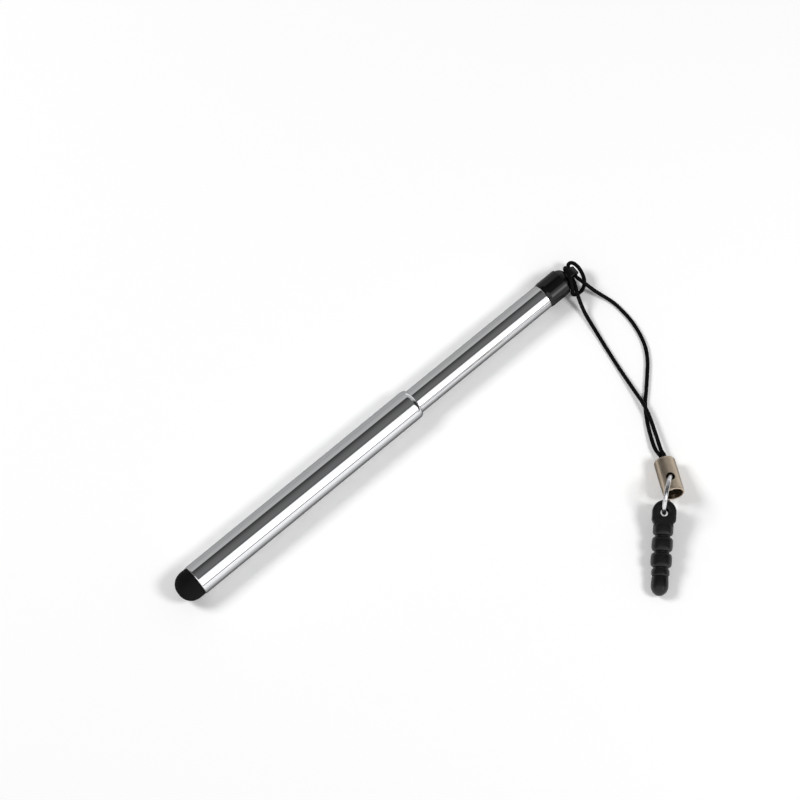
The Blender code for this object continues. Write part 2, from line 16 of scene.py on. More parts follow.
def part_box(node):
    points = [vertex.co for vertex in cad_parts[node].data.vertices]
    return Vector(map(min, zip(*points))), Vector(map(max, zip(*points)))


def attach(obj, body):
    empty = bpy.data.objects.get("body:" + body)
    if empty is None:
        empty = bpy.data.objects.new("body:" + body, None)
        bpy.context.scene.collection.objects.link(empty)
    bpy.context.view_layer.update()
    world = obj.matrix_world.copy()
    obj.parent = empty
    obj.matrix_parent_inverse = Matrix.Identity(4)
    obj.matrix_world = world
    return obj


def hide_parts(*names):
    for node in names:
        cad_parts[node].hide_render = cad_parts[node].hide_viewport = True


bl_info = {
    "name": "Telescoping Stylus",
    "version": (1, 0, 0),
    "blender": (4, 5, 0),
    "location": "3D View > Sidebar > Stylus",
    "description": "Builds the finished pieces of a telescoping stylus on its packed model",
    "category": "Object",
}

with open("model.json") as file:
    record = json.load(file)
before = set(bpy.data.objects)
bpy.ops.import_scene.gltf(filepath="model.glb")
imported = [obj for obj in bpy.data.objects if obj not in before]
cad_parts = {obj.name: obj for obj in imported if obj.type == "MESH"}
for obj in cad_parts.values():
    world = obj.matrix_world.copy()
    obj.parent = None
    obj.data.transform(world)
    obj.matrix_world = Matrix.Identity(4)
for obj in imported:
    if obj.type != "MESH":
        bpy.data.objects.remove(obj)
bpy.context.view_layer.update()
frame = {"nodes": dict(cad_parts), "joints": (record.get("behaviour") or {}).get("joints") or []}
MM = 0.001

# Places on the pen, as stations from the tip's apex along the pen's own axis
TIP_LOW, TIP_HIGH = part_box("stylus_tip")
BARREL_LOW, BARREL_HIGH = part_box("outer_barrel")
TUBE_LOW, TUBE_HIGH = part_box("inner_barrel")
CAP_LOW, CAP_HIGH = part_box("rear_cap")
AXIS_HEIGHT = (BARREL_LOW.z + BARREL_HIGH.z) / 2
BARREL_FRONT = BARREL_LOW.x - TIP_LOW.x
MOUTH = BARREL_HIGH.x - TIP_LOW.x
TIP_REAR = TIP_HIGH.x - TIP_LOW.x
TUBE_FRONT = TUBE_LOW.x - TIP_LOW.x
TUBE_REAR = TUBE_HIGH.x - TIP_LOW.x
SPIGOT_FRONT = CAP_LOW.x - TIP_LOW.x
PEN_END = CAP_HIGH.x - TIP_LOW.x
PEN_AXIS = Matrix.Translation((TIP_LOW.x, 0, AXIS_HEIGHT)) @ Matrix.Rotation(math.pi / 2, 4, "Y")

# Places on the strap: the ring hangs in the ferrule's cross hole, and the plug's eyelet on the ring
JOINTS = {joint["name"]: joint for joint in frame["joints"]}
CROSS_HOLE = Vector(JOINTS["ring_swing"]["pos_m"])
EYELET = Vector(JOINTS["plug_swing"]["pos_m"])
FERRULE_TILT = math.radians(17)
FERRULE_HEADING = math.radians(-119)
FERRULE_TURN = Euler((0, math.pi / 2 - FERRULE_TILT, FERRULE_HEADING)).to_matrix().to_4x4()
RING_SWING = math.radians(25)
PLUG_HEADING = math.radians(-135.2)

# Thickness of the ferrule's closed end, which the cord goes through
FERRULE_END_WALL = 0.5 * MM

# Roundness of the turned meshes and of the holes, and the angle over which an edge stays crisp
SIDES = 160
SMALL_SIDES = 96
BEAD_SIDES = 48
HOLE_SIDES = 48
DRILL_SIDES = 64
CRISP_ANGLE = math.radians(34)

# The cord's loose hitch on the lug: millimetres from the lug hole's centre, in the cord's order
HITCH = (
    (-0.33, 1.30, 0.42), (-0.30, 1.30, 1.06), (-0.48, 0.82, 1.92), (-0.98, -0.25, 2.36),
    (-1.40, -1.27, 2.19), (-1.76, -2.08, 1.64), (-1.98, -2.61, 0.86), (-2.17, -2.87, 0.08),
    (-2.15, -3.06, -0.58), (-1.90, -3.26, -1.10), (-1.25, -3.46, -1.30), (-0.40, -3.52, -1.27),
    (0.45, -3.22, -1.17), (1.08, -2.70, -0.98), (1.52, -2.05, -0.75), (1.82, -1.15, -0.45),
    (1.98, -0.15, -0.15), (1.90, 0.80, 0.05), (1.64, 1.42, 0.12), (1.20, 1.69, 0.12), (0.70, 1.52, 0.06),
)

# The two strands from the lug to the ferrule: millimetres from the hole across the table, and
# millimetres above the table
STRAIGHT_STRAND = (
    (-0.72, -1.85, 3.12), (-1.30, -2.92, 3.24), (-1.81, -4.12, 2.72), (-2.29, -5.85, 1.55),
    (-2.69, -7.68, 0.88), (-3.51, -12.15, 0.46), (-4.30, -16.22, 0.43), (-4.90, -19.56, 0.48),
    (-5.62, -23.77, 0.80), (-6.28, -27.30, 1.22), (-7.07, -29.85, 1.26), (-8.52, -33.12, 1.40),
    (-9.86, -36.00, 1.62),
)
BOWED_STRAND = (
    (0.52, -1.85, 2.95), (0.77, -2.96, 2.88), (1.16, -4.15, 2.28), (1.73, -5.40, 1.42),
    (2.86, -8.45, 0.60), (3.16, -10.88, 0.45), (3.09, -13.86, 0.42), (2.54, -16.80, 0.40),
    (1.62, -19.24, 0.40), (0.14, -21.47, 0.40), (-1.72, -23.41, 0.40), (-4.05, -25.70, 0.40),
    (-5.58, -27.13, 0.40), (-7.02, -28.95, 0.42), (-8.64, -31.50, 0.60), (-10.24, -34.70, 0.90),
)

# The cord's straight lead before the ferrule, how far its two ends are turned about each other there,
# and its points in the lug's hole as shares of the lug's thickness
CORD_LEAD = 1.2 * MM
CORD_PAIR_TURN = math.radians(40)
LUG_PASS = (-0.55, 0, 0.5)

# The mesh of the cord, and the number of yarns round it
CORD_STEP = 0.1 * MM
CORD_SIDES = 24
YARNS_ROUND = 6

# The camera of the photograph: near, high above the pen and a little to its cord's side
CAMERA_AT = Vector((-87.05, -106.90, 457.66)) * MM
CAMERA_AIM = Vector((6.82, 2.70, 0)) * MM
CAMERA_LENS = 117
CAMERA_SENSOR = 36
CAMERA_NEAR = 0.01

# What the metal mirrors: the studio's cards as sRGB greys, by degrees from straight up towards the
# cord's side. The cards lie askew to the pen
STUDIO_CARDS = (
    (-90, 0x9E), (-58, 0xAC), (-51, 0xA8), (-48, 0x34), (-36, 0x42), (-18, 0x5C), (5, 0x66), (20, 0x5C),
    (23.5, 0x60), (25.5, 0xFF), (76.2, 0xFF), (77.6, 0x3C), (82, 0x3C), (83.4, 0xFF), (90, 0xFF),
)
CARD_SKEW = math.radians(55)
CARD_MIDDLE = 0.17
CARD_LEVEL = 1.17

# The white card is brightest about this direction from the pen, which gives black plastic its soft glint
SOFTBOX_MIDDLE = Vector((0.276, -0.836, 0.475))
SOFTBOX_REACH = 0.28
SOFTBOX_LEVEL = 4.5

# The table as the metal mirrors it, with painted shadow: darker along the pen's shadow, and darker
# # still round the ferrule, whose shadow is painted there too
TABLE_PAINTED_SHADES = (
    (-25, 0xFF), (-18, 0xF0), (-10, 0xC8), (-7, 0xB0), (-5, 0x8C), (-2, 0x60), (4, 0x90), (9, 0xA4),
    (25, 0xA8),
)
TABLE_REACH = 25 * MM
FERRULE_PAINTED_SHADOW = (7 * MM, 10 * MM)
FERRULE_PAINTED_SHADOW_GREY = 0.28

# The table's half width, and the distances over which the camera sees it fade to plain white
TABLE_HALF = 2.0
TABLE_FADE = (0.13, 0.35)

# Beyond the lug's end the studio is dark on the cord's side, and on the far side pale, up from a white
# horizon
END_START = (0.30, 0.55)
END_SIDES = (-0.15, 0.15)
END_GREYS = (0.03, 0.42)
END_RISE = (0.02, 0.40)

# Two soft lamps, on the picture's right and left, and the light that the chrome throws on the table
KEY_AT = Vector((0.20, -0.28, 0.42))
KEY_SIZE = 0.16
FILL_AT = Vector((-0.30, 0.45, 0.58))
FILL_SIZE = 0.28
LAMP_AIM = Vector((0.01, -0.02, 0))
THROWN_LEVEL = 1.7

# How far the smoothing of an edge reaches into the long straight run beside it
BRACE = 0.1 * MM

# Points of a mesh that lie closer than this are one point
WELD = 1e-8

# Sockets of the colour mix node, whose names its other kinds share
MIX_A = 6
MIX_B = 7
MIX_RESULT = 2


def linear(hex_colour):
    """An sRGB hex value as linear red, green and blue."""
    parts = [int(hex_colour[i:i + 2], 16) / 255 for i in (1, 3, 5)]
    return tuple(c / 12.92 if c <= 0.04045 else ((c + 0.055) / 1.055) ** 2.4 for c in parts)


def length(name, description, default):
    """A length that a user may change."""
    return FloatProperty(name=name, description=description, default=default, min=0.0,
                         precision=5, subtype="DISTANCE", unit="LENGTH")


def colour(name, description, hex_colour):
    """A colour that a user may change, from its sRGB hex value."""
    return FloatVectorProperty(name=name, description=description, default=linear(hex_colour),
                               min=0.0, max=1.0, subtype="COLOR")


class PenSizes(bpy.types.PropertyGroup):
    """Sizes of the pen's own pieces."""

    barrel_radius: length("Barrel radius", "Outer radius of the front barrel",
                          (BARREL_HIGH.z - BARREL_LOW.z) / 2)
    barrel_wall: length("Barrel wall", "Wall of the drawn front barrel", 0.3 * MM)
    barrel_edge: length("Barrel edge", "Rounding of the barrel's front edge", 0.2 * MM)
    mouth_roll: length("Mouth roll", "Length over which the barrel's mouth is rolled in", 0.9 * MM)
    tube_radius: length("Tube radius", "Outer radius of the sliding tube", (TUBE_HIGH.z - TUBE_LOW.z) / 2)
    tube_wall: length("Tube wall", "Wall of the sliding tube", 0.3 * MM)
    tube_neck: length("Tube neck", "Length of the necked end that carries the friction shells", 6.15 * MM)
    tube_neck_depth: length("Neck depth", "How much the neck is reduced in radius", 0.2 * MM)
    running_gap: length("Running gap", "Gap between the tube and the barrel's mouth", 0.05 * MM)
    tip_radius: length("Tip radius", "Outer radius of the soft tip", (TIP_HIGH.z - TIP_LOW.z) / 2)
    tip_dome: length("Tip dome", "Height of the tip's dome", 2.9 * MM)
    tip_fullness: FloatProperty(name="Tip fullness", default=2.2, min=1.0, max=6.0,
                                description="2 gives an elliptic dome, more gives a blunter one")
    cap_radius: length("Cap radius", "Outer radius of the end cap", 2.594 * MM)
    cap_length: length("Cap length", "Length of the cap's round body", 4.5 * MM)
    cap_lead: length("Cap lead", "Length of the chamfer at the cap's front", 0.6 * MM)
    cap_cone: length("Cap cone", "Length of the rounded cone behind the cap", 1.4 * MM)
    lug_radius: length("Lug radius", "Radius of the lug's round end", 1.3 * MM)
    lug_hole: length("Lug hole", "Diameter of the cord's hole in the lug", 1.7 * MM)
    lug_thickness: length("Lug thickness", "Thickness of the flat lug", 1.6 * MM)


class StrapSizes(bpy.types.PropertyGroup):
    """Sizes of the cord and of what hangs on it."""

    cord_diameter: length("Cord diameter", "Thickness of the braided cord", 0.75 * MM)
    cord_spacing: length("Cord spacing", "Gap between the two strands side by side", 0.05 * MM)
    braid_pitch: length("Braid pitch", "Distance along the cord between crossings of the yarns", 0.62 * MM)
    braid_relief: length("Braid relief", "How far a yarn stands out of the braid", 0.03 * MM)
    ferrule_diameter: length("Ferrule diameter", "Outer diameter of the end sleeve", 3.95 * MM)
    ferrule_wall: length("Ferrule wall", "Wall of the end sleeve", 0.35 * MM)
    ferrule_length: length("Ferrule length", "Length of the end sleeve", 7.3 * MM)
    ferrule_edge: length("Ferrule edge", "Rounding of the sleeve's closed end", 0.4 * MM)
    ferrule_rim: length("Ferrule rim", "Inner rounding of the sleeve's open rim", 0.1 * MM)
    cross_hole: length("Cross hole", "Diameter of the hole that takes the ring", 1.65 * MM)
    cross_hole_inset: length("Hole inset", "Distance of the cross hole from the open rim", 2.7 * MM)
    ring_diameter: length("Ring diameter", "Outer diameter of the jump ring", 7.5 * MM)
    ring_wire: length("Ring wire", "Thickness of the ring's wire", 0.8 * MM)
    ring_joint: length("Ring joint", "Gap at the ring's butt joint", 0.12 * MM)
    plug_length: length("Plug length", "Length of the dust plug", 17.4 * MM)
    plug_rib: length("Plug rib", "Diameter of the plug's ribs", 3.85 * MM)
    plug_groove: length("Plug groove", "Diameter of the grooves between the ribs", 2.8 * MM)
    plug_groove_width: length("Groove width", "Width of the grooves between the ribs", 0.35 * MM)
    plug_ball: length("Plug ball", "Diameter of the plug's round end", 3.2 * MM)
    plug_head: length("Plug head", "Width of the plug's flat head", 4.35 * MM)
    plug_eyelet: length("Plug eyelet", "Diameter of the eyelet in the head", 1.4 * MM)


class FinishColours(bpy.types.PropertyGroup):
    """Colours of the finishes."""

    chrome: colour("Chrome", "Bright chrome plate", "#EDEEF0")
    tip_rubber: colour("Tip rubber", "Conductive rubber of the tip", "#060607")
    abs_black: colour("Cap plastic", "Moulded plastic of the cap", "#050506")
    nylon: colour("Cord", "Braided nylon", "#060607")
    nickel: colour("Nickel", "Satin nickel of the ferrule", "#C4B5A1")
    # The bore's dark colour is partly tarnish and partly painted shade inside the sleeve
    bore: colour("Ferrule bore", "Tarnished inside of the ferrule", "#6E6250")
    steel: colour("Steel", "Bright steel wire of the ring", "#D8D8DA")
    plug_rubber: colour("Plug rubber", "Silicone rubber of the dust plug", "#050507")
    brass: colour("Brass", "Turned brass of the inner pieces", "#D9BC7E")
    bronze: colour("Bronze", "Rolled spring bronze of the friction shells", "#C99A6B")


class StageSettings(bpy.types.PropertyGroup):
    """The white studio round the pen."""

    table: colour("Table", "Pale matt table top", "#FEFEFE")
    sky_level: FloatProperty(name="Sky level", default=0.29, min=0.0, max=4.0,
                             description="Plain light from all round, where 1 alone lights white to white")
    key_power: FloatProperty(name="Key lamp", default=1.2, min=0.0, unit="POWER",
                             description="Power of the soft lamp on the picture's right")
    fill_power: FloatProperty(name="Fill lamp", default=3.5, min=0.0, unit="POWER",
                              description="Power of the soft lamp on the picture's left")


def flat_grey(level):
    """A linear grey as an opaque colour."""
    return (level, level, level, 1.0)


def add(tree, kind, links=None, stops=None, **settings):
    """Adds a node: settings are its attributes, links its inputs, stops the ramp's (place, grey) pairs."""
    node = tree.nodes.new(kind)
    for name, value in settings.items():
        setattr(node, name, value)
    for socket, source in (links or {}).items():
        if isinstance(source, bpy.types.NodeSocket):
            tree.links.new(source, node.inputs[socket])
        else:
            node.inputs[socket].default_value = source
    if stops:
        ramp = node.color_ramp.elements
        while len(ramp) < len(stops):
            ramp.new(1.0)
        for element, (place, grey) in zip(ramp, stops):
            element.position = place
            element.color = flat_grey(grey)
    return node


def per_metre(millimetres):
    """Texture scale of a pattern whose features have this size."""
    return 1 / (millimetres * MM)


def new_finish(name, base, metallic, roughness, **sockets):
    """A material with its shader's plain values set; returns it, its tree and its shader."""
    material = bpy.data.materials.new(name)
    material.use_nodes = True
    tree = material.node_tree
    shader = tree.nodes["Principled BSDF"]
    shader.inputs["Base Color"].default_value = (*base, 1.0)
    shader.inputs["Metallic"].default_value = metallic
    shader.inputs["Roughness"].default_value = roughness
    for socket, value in sockets.items():
        shader.inputs[socket.replace("_", " ")].default_value = value
    return material, tree, shader


def grained(tree, sizes_mm, detail):
    """Noise in the piece's own coordinates, with grains of the given size along X, Y and Z."""
    place = add(tree, "ShaderNodeTexCoord")
    scale = add(tree, "ShaderNodeMapping", {
        "Vector": place.outputs["Object"], "Scale": [per_metre(size) for size in sizes_mm]})
    return add(tree, "ShaderNodeTexNoise", {
        "Vector": scale.outputs["Vector"], "Scale": 1.0, "Detail": detail}).outputs["Fac"]


def shaded(base, factor):
    """A colour made darker or paler by a factor."""
    return [c * factor for c in base]


def patterned(tree, shader, rough=None, tint=None, bumps=()):
    """Lets patterns drive a shader.

    rough is a pattern, its low and high value and the roughness at each; tint is a pattern and the two
    colours that it mixes; bumps are (pattern, strength, depth), each raised on the one before.
    """
    if rough:
        pattern, low, high, at_low, at_high = rough
        spread = add(tree, "ShaderNodeMapRange", {
            "Value": pattern, "From Min": low, "From Max": high, "To Min": at_low, "To Max": at_high})
        tree.links.new(spread.outputs["Result"], shader.inputs["Roughness"])
    if tint:
        pattern, first, second = tint
        mixed = add(tree, "ShaderNodeMix", {
            "Factor": pattern, MIX_A: (*first, 1.0), MIX_B: (*second, 1.0)}, data_type="RGBA")
        tree.links.new(mixed.outputs[MIX_RESULT], shader.inputs["Base Color"])
    below = {}
    for pattern, strength, depth in bumps:
        raised = add(tree, "ShaderNodeBump", {
            "Height": pattern, "Strength": strength, "Distance": depth, **below})
        below = {"Normal": raised.outputs["Normal"]}
    if below:
        tree.links.new(below["Normal"], shader.inputs["Normal"])


def chrome_finish(name, base):
    """Bright chrome plate on drawn tube: a clear mirror, faintly streaked along the draw, not quite true."""
    material, tree, shader = new_finish(name, base, 1.0, 0.07)
    streaks = grained(tree, (0.22, 0.22, 14.0), 3.0)
    handled = grained(tree, (7.0, 7.0, 11.0), 4.0)
    waves = grained(tree, (9.0, 9.0, 26.0), 0.0)
    wear = add(tree, "ShaderNodeMath", {0: streaks, 1: handled}, operation="MULTIPLY").outputs[0]
    patterned(tree, shader, rough=(wear, 0.15, 0.40, 0.03, 0.09),
              bumps=((streaks, 0.2, 0.0004 * MM), (waves, 1.0, 0.02 * MM)))
    return material


def rubber_finish(name, base, grit_mm, roughness, gloss):
    """Moulded matte rubber: fine grit from the mould kills the gloss, and handling leaves paler patches."""
    material, tree, shader = new_finish(name, base, 0.0, roughness, Specular_IOR_Level=gloss, IOR=1.43)
    grit = grained(tree, (grit_mm,) * 3, 3.0)
    patches = grained(tree, (2.6,) * 3, 3.0)
    bloom = add(tree, "ShaderNodeMapRange", {
        "Value": patches, "From Min": 0.35, "From Max": 0.75, "To Min": 0.0, "To Max": 0.35})
    paler = [min(1.0, c * 1.9 + 0.004) for c in base]
    patterned(tree, shader, rough=(grit, 0.3, 0.7, roughness - 0.08, roughness + 0.08),
              tint=(bloom.outputs["Result"], base, paler),
              bumps=((grit, 0.5, 0.012 * MM), (patches, 0.7, 0.25 * MM)))
    return material


def abs_finish(name, base):
    """Black ABS from a fine mould: glossy, with a soft-edged highlight and a trace of the mould's texture."""
    material, tree, shader = new_finish(name, base, 0.0, 0.18, IOR=1.54, Specular_IOR_Level=0.4)
    texture = grained(tree, (0.09,) * 3, 2.0)
    rubbed = grained(tree, (1.8, 1.8, 3.2), 3.0)
    patterned(tree, shader, rough=(rubbed, 0.3, 0.7, 0.13, 0.24), bumps=((texture, 0.3, 0.004 * MM),))
    return material


def nylon_finish(name, base, pitch):
    """Braided nylon: dark yarns with a soft sheen, each drawn with its fibres along it."""
    material, tree, shader = new_finish(name, base, 0.0, 0.6, IOR=1.53, Specular_IOR_Level=0.1)
    place = add(tree, "ShaderNodeUVMap", uv_map="braid")
    fibres = add(tree, "ShaderNodeTexWave", {
        "Vector": place.outputs["UV"], "Scale": 9.0, "Distortion": 1.4, "Detail": 2.0, "Detail Scale": 1.5},
        bands_direction="DIAGONAL").outputs["Fac"]
    patterned(tree, shader, tint=(fibres, shaded(base, 0.7), shaded(base, 1.5)),
              bumps=((fibres, 0.4, pitch * 0.012),))
    return material


def melted_finish(name, base):
    """Nylon that was melted into a bead: glassy black with slight ripples."""
    material, tree, shader = new_finish(name, base, 0.0, 0.25, IOR=1.53)
    ripples = grained(tree, (0.4,) * 3, 2.0)
    patterned(tree, shader, bumps=((ripples, 0.6, 0.03 * MM),))
    return material


def nickel_finish(name, base):
    """Satin nickel plate on tumbled brass: warm grey, softly mottled, with fine lines along the sleeve."""
    material, tree, shader = new_finish(name, base, 1.0, 0.3)
    lines = grained(tree, (0.16, 0.16, 3.0), 3.0)
    cloud = grained(tree, (1.3, 1.3, 2.2), 3.0)
    dents = grained(tree, (0.5, 0.5, 0.8), 2.0)
    worn = add(tree, "ShaderNodeMath", {0: lines, 1: cloud}, operation="MULTIPLY").outputs[0]
    patterned(tree, shader, rough=(worn, 0.12, 0.42, 0.26, 0.42),
              bumps=((lines, 0.4, 0.004 * MM), (dents, 0.6, 0.05 * MM)))
    return material


def tarnish_and_shade_finish(name, base):
    """Brass that the plating bath did not reach: dull dark brown, partly as painted shade, mottled by
    tarnish.
    """
    material, tree, shader = new_finish(name, base, 1.0, 0.55)
    mottle = grained(tree, (0.5, 0.5, 0.9), 4.0)
    patterned(tree, shader, tint=(mottle, shaded(base, 0.5), shaded(base, 1.4)))
    return material


def steel_wire_finish(name, base):
    """Bright drawn steel wire: a mirror with a few rubbed, duller stretches."""
    material, tree, shader = new_finish(name, base, 1.0, 0.14)
    rubbed = grained(tree, (0.35,) * 3, 4.0)
    patterned(tree, shader, rough=(rubbed, 0.35, 0.7, 0.08, 0.3))
    return material


def worked_metal_finish(name, base, marks_mm):
    """Turned or rolled copper alloy: warm metal with tool marks of the given sizes along X, Y and Z."""
    material, tree, shader = new_finish(name, base, 1.0, 0.28)
    marks = grained(tree, marks_mm, 3.0)
    patterned(tree, shader, rough=(marks, 0.3, 0.7, 0.2, 0.4), bumps=((marks, 0.5, 0.004 * MM),))
    return material


def arc(centre, radii, start, end, steps):
    """Points of an elliptic arc in a profile, as (radius, station), angles in degrees."""
    angles = [math.radians(start + (end - start) * i / steps) for i in range(steps + 1)]
    return [(centre[0] + radii[0] * math.cos(a), centre[1] + radii[1] * math.sin(a)) for a in angles]


def as_mesh(name, shape):
    """A shape under construction as a mesh. The shape is freed."""
    mesh = bpy.data.meshes.new(name)
    shape.to_mesh(mesh)
    shape.free()
    return mesh


def braced(profile, closed):
    """The profile with a point near each end of its long straight runs, to keep their shading straight."""
    corners = [Vector(corner) for corner in (profile + profile[:1] if closed else profile)]
    points = []
    for start, end in zip(corners, corners[1:]):
        points.append(start)
        run = (end - start).length
        if run > 4 * BRACE:
            points += [start.lerp(end, BRACE / run), end.lerp(start, BRACE / run)]
    return points if closed else points + corners[-1:]


def turned_mesh(name, profile, sides, closed):
    """A profile of (radius, station) points turned about Z. An open one starts and ends on the axis."""
    shape = bmesh.new()
    corners = [shape.verts.new((radius, 0, station)) for radius, station in braced(profile, closed)]
    pairs = list(zip(corners, corners[1:]))
    if closed:
        pairs.append((corners[-1], corners[0]))
    edges = [shape.edges.new(pair) for pair in pairs]
    bmesh.ops.spin(shape, geom=corners + edges, axis=(0, 0, 1), cent=(0, 0, 0), angle=2 * math.pi,
                   steps=sides, use_merge=True)
    bmesh.ops.remove_doubles(shape, verts=shape.verts, dist=WELD)
    bmesh.ops.dissolve_degenerate(shape, edges=shape.edges, dist=WELD)
    bmesh.ops.recalc_face_normals(shape, faces=shape.faces)
    return as_mesh(name, shape)


def add_spline(curve, points, closed):
    """A run of straight lines through the points, on a curve."""
    spline = curve.splines.new("POLY")
    spline.points.add(len(points) - 1)
    for corner, point in zip(spline.points, points):
        corner.co = (*point, 1)
    spline.use_cyclic_u = closed


def plate_mesh(name, outlines, thickness, edge):
    """Closed outlines in XY as a plate with rounded edges. A second outline is a hole."""
    curve = bpy.data.curves.new(name, "CURVE")
    curve.dimensions = "2D"
    curve.fill_mode = "BOTH"
    curve.extrude = thickness / 2 - edge
    curve.bevel_depth = edge
    curve.bevel_resolution = 4
    curve.offset = -edge
    for outline in outlines:
        add_spline(curve, [(x, y, 0) for x, y in outline], True)
    return evaluated_mesh(bpy.data.objects.new(name, curve))


def evaluated_mesh(source):
    """The mesh of an object with its modifiers applied and its seams welded. The object is removed."""
    bpy.context.scene.collection.objects.link(source)
    bpy.context.view_layer.update()
    result = source.evaluated_get(bpy.context.evaluated_depsgraph_get())
    mesh = bpy.data.meshes.new_from_object(result)
    bpy.data.objects.remove(source, do_unlink=True)
    shape = bmesh.new()
    shape.from_mesh(mesh)
    bmesh.ops.remove_doubles(shape, verts=shape.verts, dist=WELD)
    shape.to_mesh(mesh)
    shape.free()
    return mesh


def combined_mesh(first, second, operation):
    """Two closed meshes joined or cut by a Boolean."""
    body = bpy.data.objects.new(first.name, first)
    tool = bpy.data.objects.new(second.name, second)
    bpy.context.scene.collection.objects.link(tool)
    step = body.modifiers.new("combine", "BOOLEAN")
    step.operation = operation
    step.object = tool
    step.solver = "EXACT"
    mesh = evaluated_mesh(body)
    bpy.data.objects.remove(tool, do_unlink=True)
    return mesh


def add_piece(name, mesh, place, body, slot, material, *nodes):
    """A mesh as a piece at its place, smooth with crisp edges, with its finish, body and replaced nodes."""
    mesh.shade_smooth()
    mesh.set_sharp_from_angle(angle=CRISP_ANGLE)
    mesh.materials.clear()
    mesh.materials.append(material)
    piece = bpy.data.objects.new(name, mesh)
    bpy.context.scene.collection.objects.link(piece)
    piece.matrix_world = place
    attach(piece, body)
    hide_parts(*nodes)
    return piece


def dome_profile(radius, reach, fullness, steps):
    """Half of a full dome whose apex is at station 0, from its rim to the axis."""
    points = []
    for i in range(steps):
        angle = math.pi / 2 * i / steps
        across = math.cos(angle) ** (2 / fullness)
        along = 1 - math.sin(angle) ** (2 / fullness)
        points.append((radius * across, reach * along))
    return points + [(0, 0)]


def circle(centre_y, radius):
    """Points round a hole about (0, centre_y)."""
    angles = [2 * math.pi * i / HOLE_SIDES for i in range(HOLE_SIDES)]
    return [(radius * math.cos(a), centre_y + radius * math.sin(a)) for a in angles]


def ferrule_place():
    """World matrix of the ferrule: its closed end at the origin, its axis along Z to the open rim."""
    sizes = bpy.context.scene.strap_sizes
    back = Matrix.Translation((0, 0, sizes.cross_hole_inset - sizes.ferrule_length))
    return Matrix.Translation(CROSS_HOLE) @ FERRULE_TURN @ back


class STYLUS_OT_barrel(bpy.types.Operator):
    """Builds the chrome front barrel with its rolled mouth"""

    bl_idname = "stylus.barrel"
    bl_label = "Chrome Barrel"

    def execute(self, context):
        sizes = context.scene.pen_sizes
        radius = sizes.barrel_radius
        bore = radius - sizes.barrel_wall
        mouth = sizes.tube_radius + sizes.running_gap
        roll_start = MOUTH - sizes.mouth_roll
        edge = sizes.barrel_edge
        profile = arc((mouth, roll_start), (radius - mouth, sizes.mouth_roll), 90, 0, 28)
        profile += arc((radius - edge, BARREL_FRONT + edge), (edge, edge), 0, -90, 10)
        profile += [(bore, BARREL_FRONT)]
        profile += arc((mouth, roll_start), (bore - mouth, sizes.mouth_roll - sizes.barrel_wall), 0, 90, 12)
        mesh = turned_mesh("chrome_barrel", profile, SIDES, True)
        finish = chrome_finish("bright_chrome_barrel", context.scene.finish_colours.chrome)
        add_piece("chrome_barrel", mesh, PEN_AXIS, "front_barrel", "polished_chrome", finish, "outer_barrel")
        return {"FINISHED"}


class STYLUS_OT_tube(bpy.types.Operator):
    """Builds the chrome tube that slides in the barrel"""

    bl_idname = "stylus.tube"
    bl_label = "Chrome Tube"

    def execute(self, context):
        sizes = context.scene.pen_sizes
        radius = sizes.tube_radius
        bore = radius - sizes.tube_wall
        neck = sizes.tube_neck_depth
        shoulder = TUBE_FRONT + sizes.tube_neck
        taper = 0.3 * MM
        edge = 0.08 * MM
        profile = [(bore, TUBE_REAR)]
        profile += arc((radius - edge, TUBE_REAR - edge), (edge, edge), 90, 0, 5)
        profile += [(radius, shoulder + taper), (radius - neck, shoulder), (radius - neck, TUBE_FRONT),
                    (bore - neck, TUBE_FRONT), (bore - neck, shoulder), (bore, shoulder + taper)]
        mesh = turned_mesh("chrome_tube", profile, SIDES, True)
        finish = chrome_finish("bright_chrome_tube", context.scene.finish_colours.chrome)
        add_piece("chrome_tube", mesh, PEN_AXIS, "rear_section", "polished_chrome", finish, "inner_barrel")
        return {"FINISHED"}


class STYLUS_OT_tip(bpy.types.Operator):
    """Builds the soft hollow dome of the tip"""

    bl_idname = "stylus.tip"
    bl_label = "Rubber Tip"

    def execute(self, context):
        sizes = context.scene.pen_sizes
        wall = 0.7 * MM
        lip = 0.6 * MM
        neck_hole = 1.55 * MM
        cavity = 1.95 * MM
        heel = 0.06 * MM
        inner = dome_profile(cavity, sizes.tip_dome - wall, sizes.tip_fullness, 20)
        profile = [(r, z + wall) for r, z in inner][::-1]
        profile += [(cavity, TIP_REAR - lip), (neck_hole, TIP_REAR - lip), (neck_hole, TIP_REAR)]
        profile += arc((sizes.tip_radius - heel, TIP_REAR - heel), (heel, heel), 90, 0, 5)
        profile += dome_profile(sizes.tip_radius, sizes.tip_dome, sizes.tip_fullness, 48)
        mesh = turned_mesh("rubber_dome", profile, SIDES, False)
        base = context.scene.finish_colours.tip_rubber
        finish = rubber_finish("conductive_tip_rubber", base, grit_mm=0.07, roughness=0.72, gloss=0.25)
        add_piece("rubber_dome", mesh, PEN_AXIS, "front_barrel", "tip_rubber", finish, "stylus_tip")
        return {"FINISHED"}


